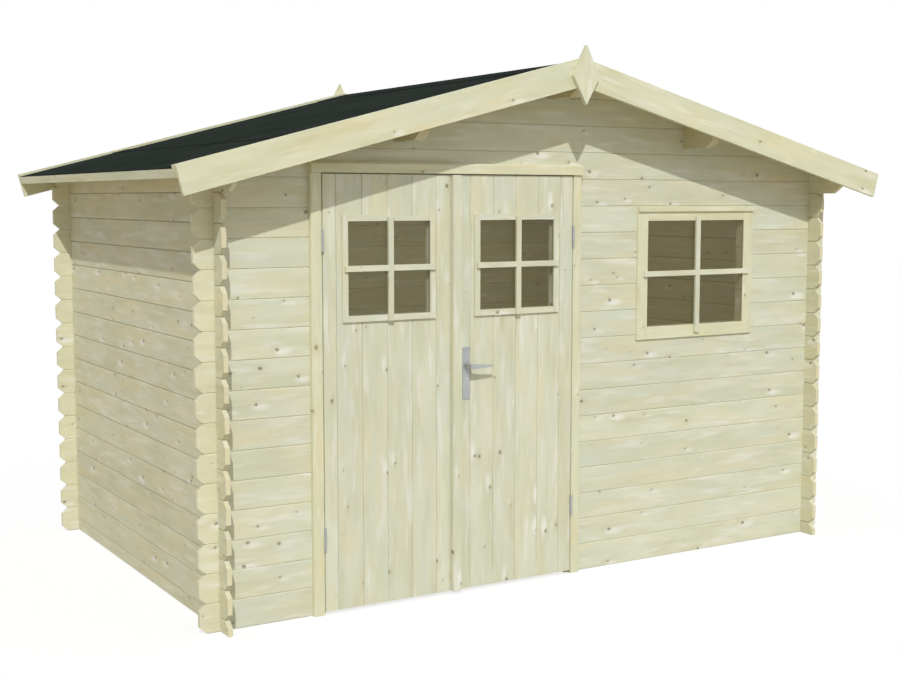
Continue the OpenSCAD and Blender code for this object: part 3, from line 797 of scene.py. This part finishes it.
deck_end = (deck_high[0] - deck_t * slope_sin) / slope_cos
board_count = 19
board_room = 0.0006
first_right, first_left = 60, 90
board_step = (deck_high[1] - deck_low[1]) / board_count
outline = plank_outline(board_step - board_room, deck_t, joint_bevel, joint_bevel, joint_gap)
halves = {"right": [], "left": []}
for number, y in enumerate(deck_low[1] + board_step * np.arange(1, board_count + 1)):
    ridge_end = np.array([fit / 2, y, ridge_z + deck_t / slope_cos])
    eave_end = on_slope(deck_end, y, deck_t)
    shape = carry(outline, [ridge_end, eave_end], -Y, [-Z / slope_cos, -out])
    halves["right"].append((shape, down, Y, first_right + number))
    halves["left"].append((mirrored(shape), down * (-1, 1, 1), Y, first_left + number))
for side, planks in halves.items():
    made = boards(f"{side}_roof_boards", planks, "shed", rough_wood)
    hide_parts(f"{side}_roof_deck")

# %% [markdown]
# ## Felt sheets
#
# The felt comes off a roll, so each half has a lower sheet, an upper sheet that laps over it, and a thin
# strip over the ridge. A flat plate would look like painted metal. Each sheet is a closed slab over a
# grid, whose height is a sum of slow waves plus the step where it climbs over the sheet below.

# %% Felt sheets
felt_low, felt_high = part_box("right_roof_felt")
felt_t, upper_t, strip_t = 0.003, 0.002, 0.0012
felt_n = deck_t + fit
eave_s = (felt_high[0] - felt_n * slope_sin - felt_t * slope_sin) / slope_cos
lap_s, lap_under, lap_rise = 1.32, 0.075, 0.0033
climb_back, climb_w = 0.085, 0.02
ridge_over, strip_over, strip_s = 0.005, 0.0055, 0.16
strip_room = 0.0001
wave_h = 0.0004


def step_up(s, edge, width):
    """1 above the edge on the slope, 0 further below it, and a smooth S between."""
    t = np.clip((edge - s) / width + 0.5, 0, 1)
    return t * t * (3 - 2 * t)


def sheet(s0, s1, lift, rows, columns, thick):
    """A closed slab: top and bottom grids over s and y, with the height lift(s) plus slow waves of wave_h,
    and a band of faces round the rim. The bottom follows the top at the sheet's thickness."""
    along = np.linspace(felt_low[1], felt_high[1], columns)
    s, y = np.meshgrid(np.linspace(s0, s1, rows), along, indexing="ij")
    waves = wave_h * (np.sin(9 * y + 5 * s) * np.sin(11 * s) - 0.5 * np.cos(23 * y - 3 * s) - 1.5)
    under = felt_n + lift(s) + np.maximum(waves + 2 * wave_h, 0)
    points = [on_slope(s, y, height).reshape(-1, 3) for height in (under + thick, under)]
    index = np.arange(rows * columns).reshape(rows, columns)
    quads = np.stack([index[:-1, :-1], index[1:, :-1], index[1:, 1:], index[:-1, 1:]], axis=-1)
    quads = quads.reshape(-1, 4)
    rim = np.concatenate([index[:-1, 0], index[-1, :-1], index[:0:-1, -1], index[0, :0:-1]])
    onward, below = np.roll(rim, -1), rows * columns
    band = np.stack([rim, rim + below, onward + below, onward], axis=-1)
    return np.concatenate(points), np.concatenate([quads, quads[:, ::-1] + below, band]).tolist()


def level(height):
    """A lift that is the same everywhere."""
    return lambda s: height + 0 * s


def over_lap(s):
    """The upper sheet's lift: nothing above the lower sheet's edge, and lap_rise where it lies on it."""
    return lap_rise * (1 - step_up(s, lap_s - climb_back, climb_w))


lower = sheet(lap_s - lap_under, eave_s, level(0), 40, 50, felt_t)
upper = sheet(-ridge_over, lap_s, over_lap, 40, 50, upper_t)
for side, turn in (("right", lambda shape: shape), ("left", mirrored)):
    made = piece(f"{side}_felt_sheets", turn(joined([lower, upper])), "shed", felt)
    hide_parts(f"{side}_roof_felt")
ridge_half = sheet(-strip_over, strip_s, level(felt_t + strip_room), 12, 50, strip_t)
piece("ridge_strip", joined([ridge_half, mirrored(ridge_half)]), "shed", felt)
print("felt from the ridge to", round(eave_s, 3), "m down the slope, lapped at", lap_s)

# %% [markdown]
# ## Nails and screws
#
# Small heads hold the felt, the window casing and the door ledges; those on the roof are tarred like the
# felt. There are many, so each is only a low dome of a few faces: an eight-sided outline carried outward
# while it shrinks.

# %% Nails and screws
def heads(centres, outward, radius, height):
    """Domes on a surface: for each centre an octagon of the radius, which rises along outward in three
    stations."""
    side = np.cross(outward, Y if abs(outward[1]) < 0.5 else Z)
    side = side / np.linalg.norm(side)
    up = np.cross(outward, side)
    angle = np.linspace(0, 2 * math.pi, 8, endpoint=False)
    octagon = np.stack([np.cos(angle), np.sin(angle)], axis=1) * radius
    sizes = np.array([1.0, 0.85, 0.4])[:, None, None]
    rise = np.array([-0.2, 0.55, 1.0])[:, None] * height * outward
    return [carry(octagon * sizes, centre + rise, side, up) for centre in centres]


first_nail, last_nail, nail_step = 0.05, 0.04, 0.1
strip_nail, edge_nail = 0.14, 0.03
on_strip, on_lap, on_eave = 0.0014, 0.0034, 0.0004
nail_y = np.arange(felt_low[1] + first_nail, felt_high[1] - last_nail, nail_step)
nail_rows = ((strip_nail, on_strip), (lap_s - edge_nail, on_lap), (eave_s - edge_nail, on_eave))
rows = [on_slope(s, nail_y, felt_n + felt_t + lift) for s, lift in nail_rows]
felt_nails = heads(np.concatenate(rows), out, radius=0.005, height=0.0012)
both_halves = joined(felt_nails + [mirrored(nail) for nail in felt_nails])
piece("felt_nails", both_halves, "shed", felt)

nail_in, nail_pair = 0.018, 0.05
low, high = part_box("window_casing")
nail_xs = (low[0] + nail_in, high[0] - nail_in)
nail_zs = (low[2] + nail_in, low[2] + nail_pair, high[2] - nail_pair, high[2] - nail_in)
places = np.array([(x, low[1], z) for x in nail_xs for z in nail_zs])
casing_nails = heads(places, -Y, radius=0.0024, height=0.0006)
piece("casing_nails", joined(casing_nails), "shed", zinc)

ledge_h, ledge_gap = 0.09, 0.015
screw_in = 0.04
for side in ("left", "right"):
    low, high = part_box(f"{side}_door_ledges")
    under_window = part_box(f"{side}_door_window_frame")[0][2]
    ledge_middles = (low[2] + ledge_h / 2, under_window - ledge_gap - ledge_h / 2, high[2] - ledge_h / 2)
    xs = np.linspace(low[0] + screw_in, high[0] - screw_in, 5)
    places = np.array([(x, high[1], z) for z in ledge_middles for x in xs])
    screws = heads(places, Y, radius=0.004, height=0.0012)
    piece(f"{side}_ledge_screws", joined(screws), f"{side}_door", zinc)
print(2 * len(felt_nails), "felt nails and", len(casing_nails), "casing nails")
print(2 * len(screws), "ledge screws")

# %% [markdown]
# ## Handle
#
# A square neck leaves the plate and carries a flat arm that tapers to a round tip; the same pair is on
# the inner face, and a spindle joins them. Both are outlines carried along a path, with their long edges
# planed off, and the arm's outline shrinks from station to station. The plates get planed edges and two
# screws each.

# %% Plates
def rounded(width, height, radius, steps=5):
    """A rectangle round the origin with quarter circles at its corners, counter-clockwise."""
    angle = np.linspace(0, math.pi / 2, steps)
    arc = np.stack([np.cos(angle), np.sin(angle)], axis=1) * radius
    quarters = np.arange(4) * math.pi / 2
    turns = [np.array([[np.cos(t), np.sin(t)], [-np.sin(t), np.cos(t)]]) for t in quarters]
    half = np.array([width / 2 - radius, height / 2 - radius])
    signs = np.array([(1, 1), (-1, 1), (-1, -1), (1, -1)])
    return np.concatenate([arc @ turn + sign * half for turn, sign in zip(turns, signs)])


low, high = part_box("handle_plates")
plate_w, plate_h, plate_t = high[0] - low[0], high[2] - low[2], 0.003
plate_round, plate_cut, screw_end = 0.003, 0.001, 0.014
plate_mid = np.array([(low[0] + high[0]) / 2, 0, (low[2] + high[2]) / 2])
plate_screw = plate_h / 2 - screw_end
shapes = []
for y_root, way in ((low[1] + plate_t, -1), (high[1] - plate_t, 1)):
    stations = plate_mid + np.array([0, y_root, 0]) + np.outer([0, plate_t - plate_cut, plate_t], way * Y)
    outlines = [rounded(plate_w - 2 * cut, plate_h - 2 * cut, plate_round) for cut in (0, 0, plate_cut)]
    shapes.append(carry(np.array(outlines), stations, -way * X, Z))
    places = [plate_mid + np.array([0, y_root + way * plate_t, z]) for z in (plate_screw, -plate_screw)]
    shapes += heads(np.array(places), way * Y, radius=0.0035, height=0.0008)
made = piece("lock_plates", joined(shapes), "right_door", zinc)
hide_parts("handle_plates")
print("plates", round(plate_w, 3), "by", round(plate_h, 3), "m")

# %% Lever
neck_l, neck_w, arm_l, edge = 0.049, 0.019, 0.099, 0.0012
root_h, tip_h, lever_t = 0.019, 0.008, 0.009
neck_room = 0.0002
plate_room = 0.0004
spindle_r, spindle_in = 0.004, 0.01
tip_turn, tip_steps = math.pi / 2 - 0.05, 8
most_cut = 0.4
lever_spot = np.array(lever_axis) * (1, 0, 1)


def arm(y_root, way):
    """A flat arm along X. Its section is a rectangle with planed corners, whose height goes in a straight
    line from root_h at the neck to tip_h, and then closes on a half circle."""
    turn = np.linspace(0, tip_turn, tip_steps)
    bar = np.array([-neck_w / 2, edge - neck_w / 2, neck_w / 2])
    reach = np.concatenate([bar, arm_l - tip_h / 2 + tip_h / 2 * np.sin(turn)])
    half_h = np.interp(reach, [neck_w / 2, arm_l - tip_h / 2], [root_h / 2, tip_h / 2])
    half_h[3:] = half_h[3:] * np.cos(turn)
    half_w = np.full(len(reach), lever_t / 2)
    half_h[0], half_w[0] = half_h[0] - edge, half_w[0] - edge
    cut = np.minimum(edge, half_h * most_cut)
    right = [(half_w - cut, -half_h), (half_w, cut - half_h),
             (half_w, half_h - cut), (half_w - cut, half_h)]
    outline = np.moveaxis(np.array(right + [(-a, -b) for a, b in right]), 2, 0)
    path = lever_spot + np.outer(reach, X) + (y_root + way * neck_l) * Y
    return carry(outline, path, Y, Z)


def neck(y_root, way):
    """A square bar from a plate to the back of its arm."""
    stations = lever_spot + np.outer([y_root, y_root + way * neck_l], Y)
    return carry(rounded(neck_w - neck_room, root_h - neck_room, edge, 3), stations, -way * X, Z)


def spindle(radius, ys):
    """A round bar on the lever's axis, between two places along Y."""
    angle = np.linspace(0, 2 * math.pi, 24, endpoint=False)
    circle = np.stack([np.cos(angle), np.sin(angle)], axis=1)
    stations = np.array([(lever_axis[0], y, lever_axis[2]) for y in ys])
    return carry(circle * radius, stations, Z, X)


y_out, y_in = low[1] - plate_room, high[1] + plate_room
shapes = [arm(y_out, -1), neck(y_out, -1), arm(y_in, 1), neck(y_in, 1)]
shapes.append(spindle(spindle_r, [y_out - spindle_in, y_in + spindle_in]))
made = piece("lever", joined(shapes), "lever", zinc)
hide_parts("lever_handle")
print("lever of", arm_l, "m on a neck of", neck_l)
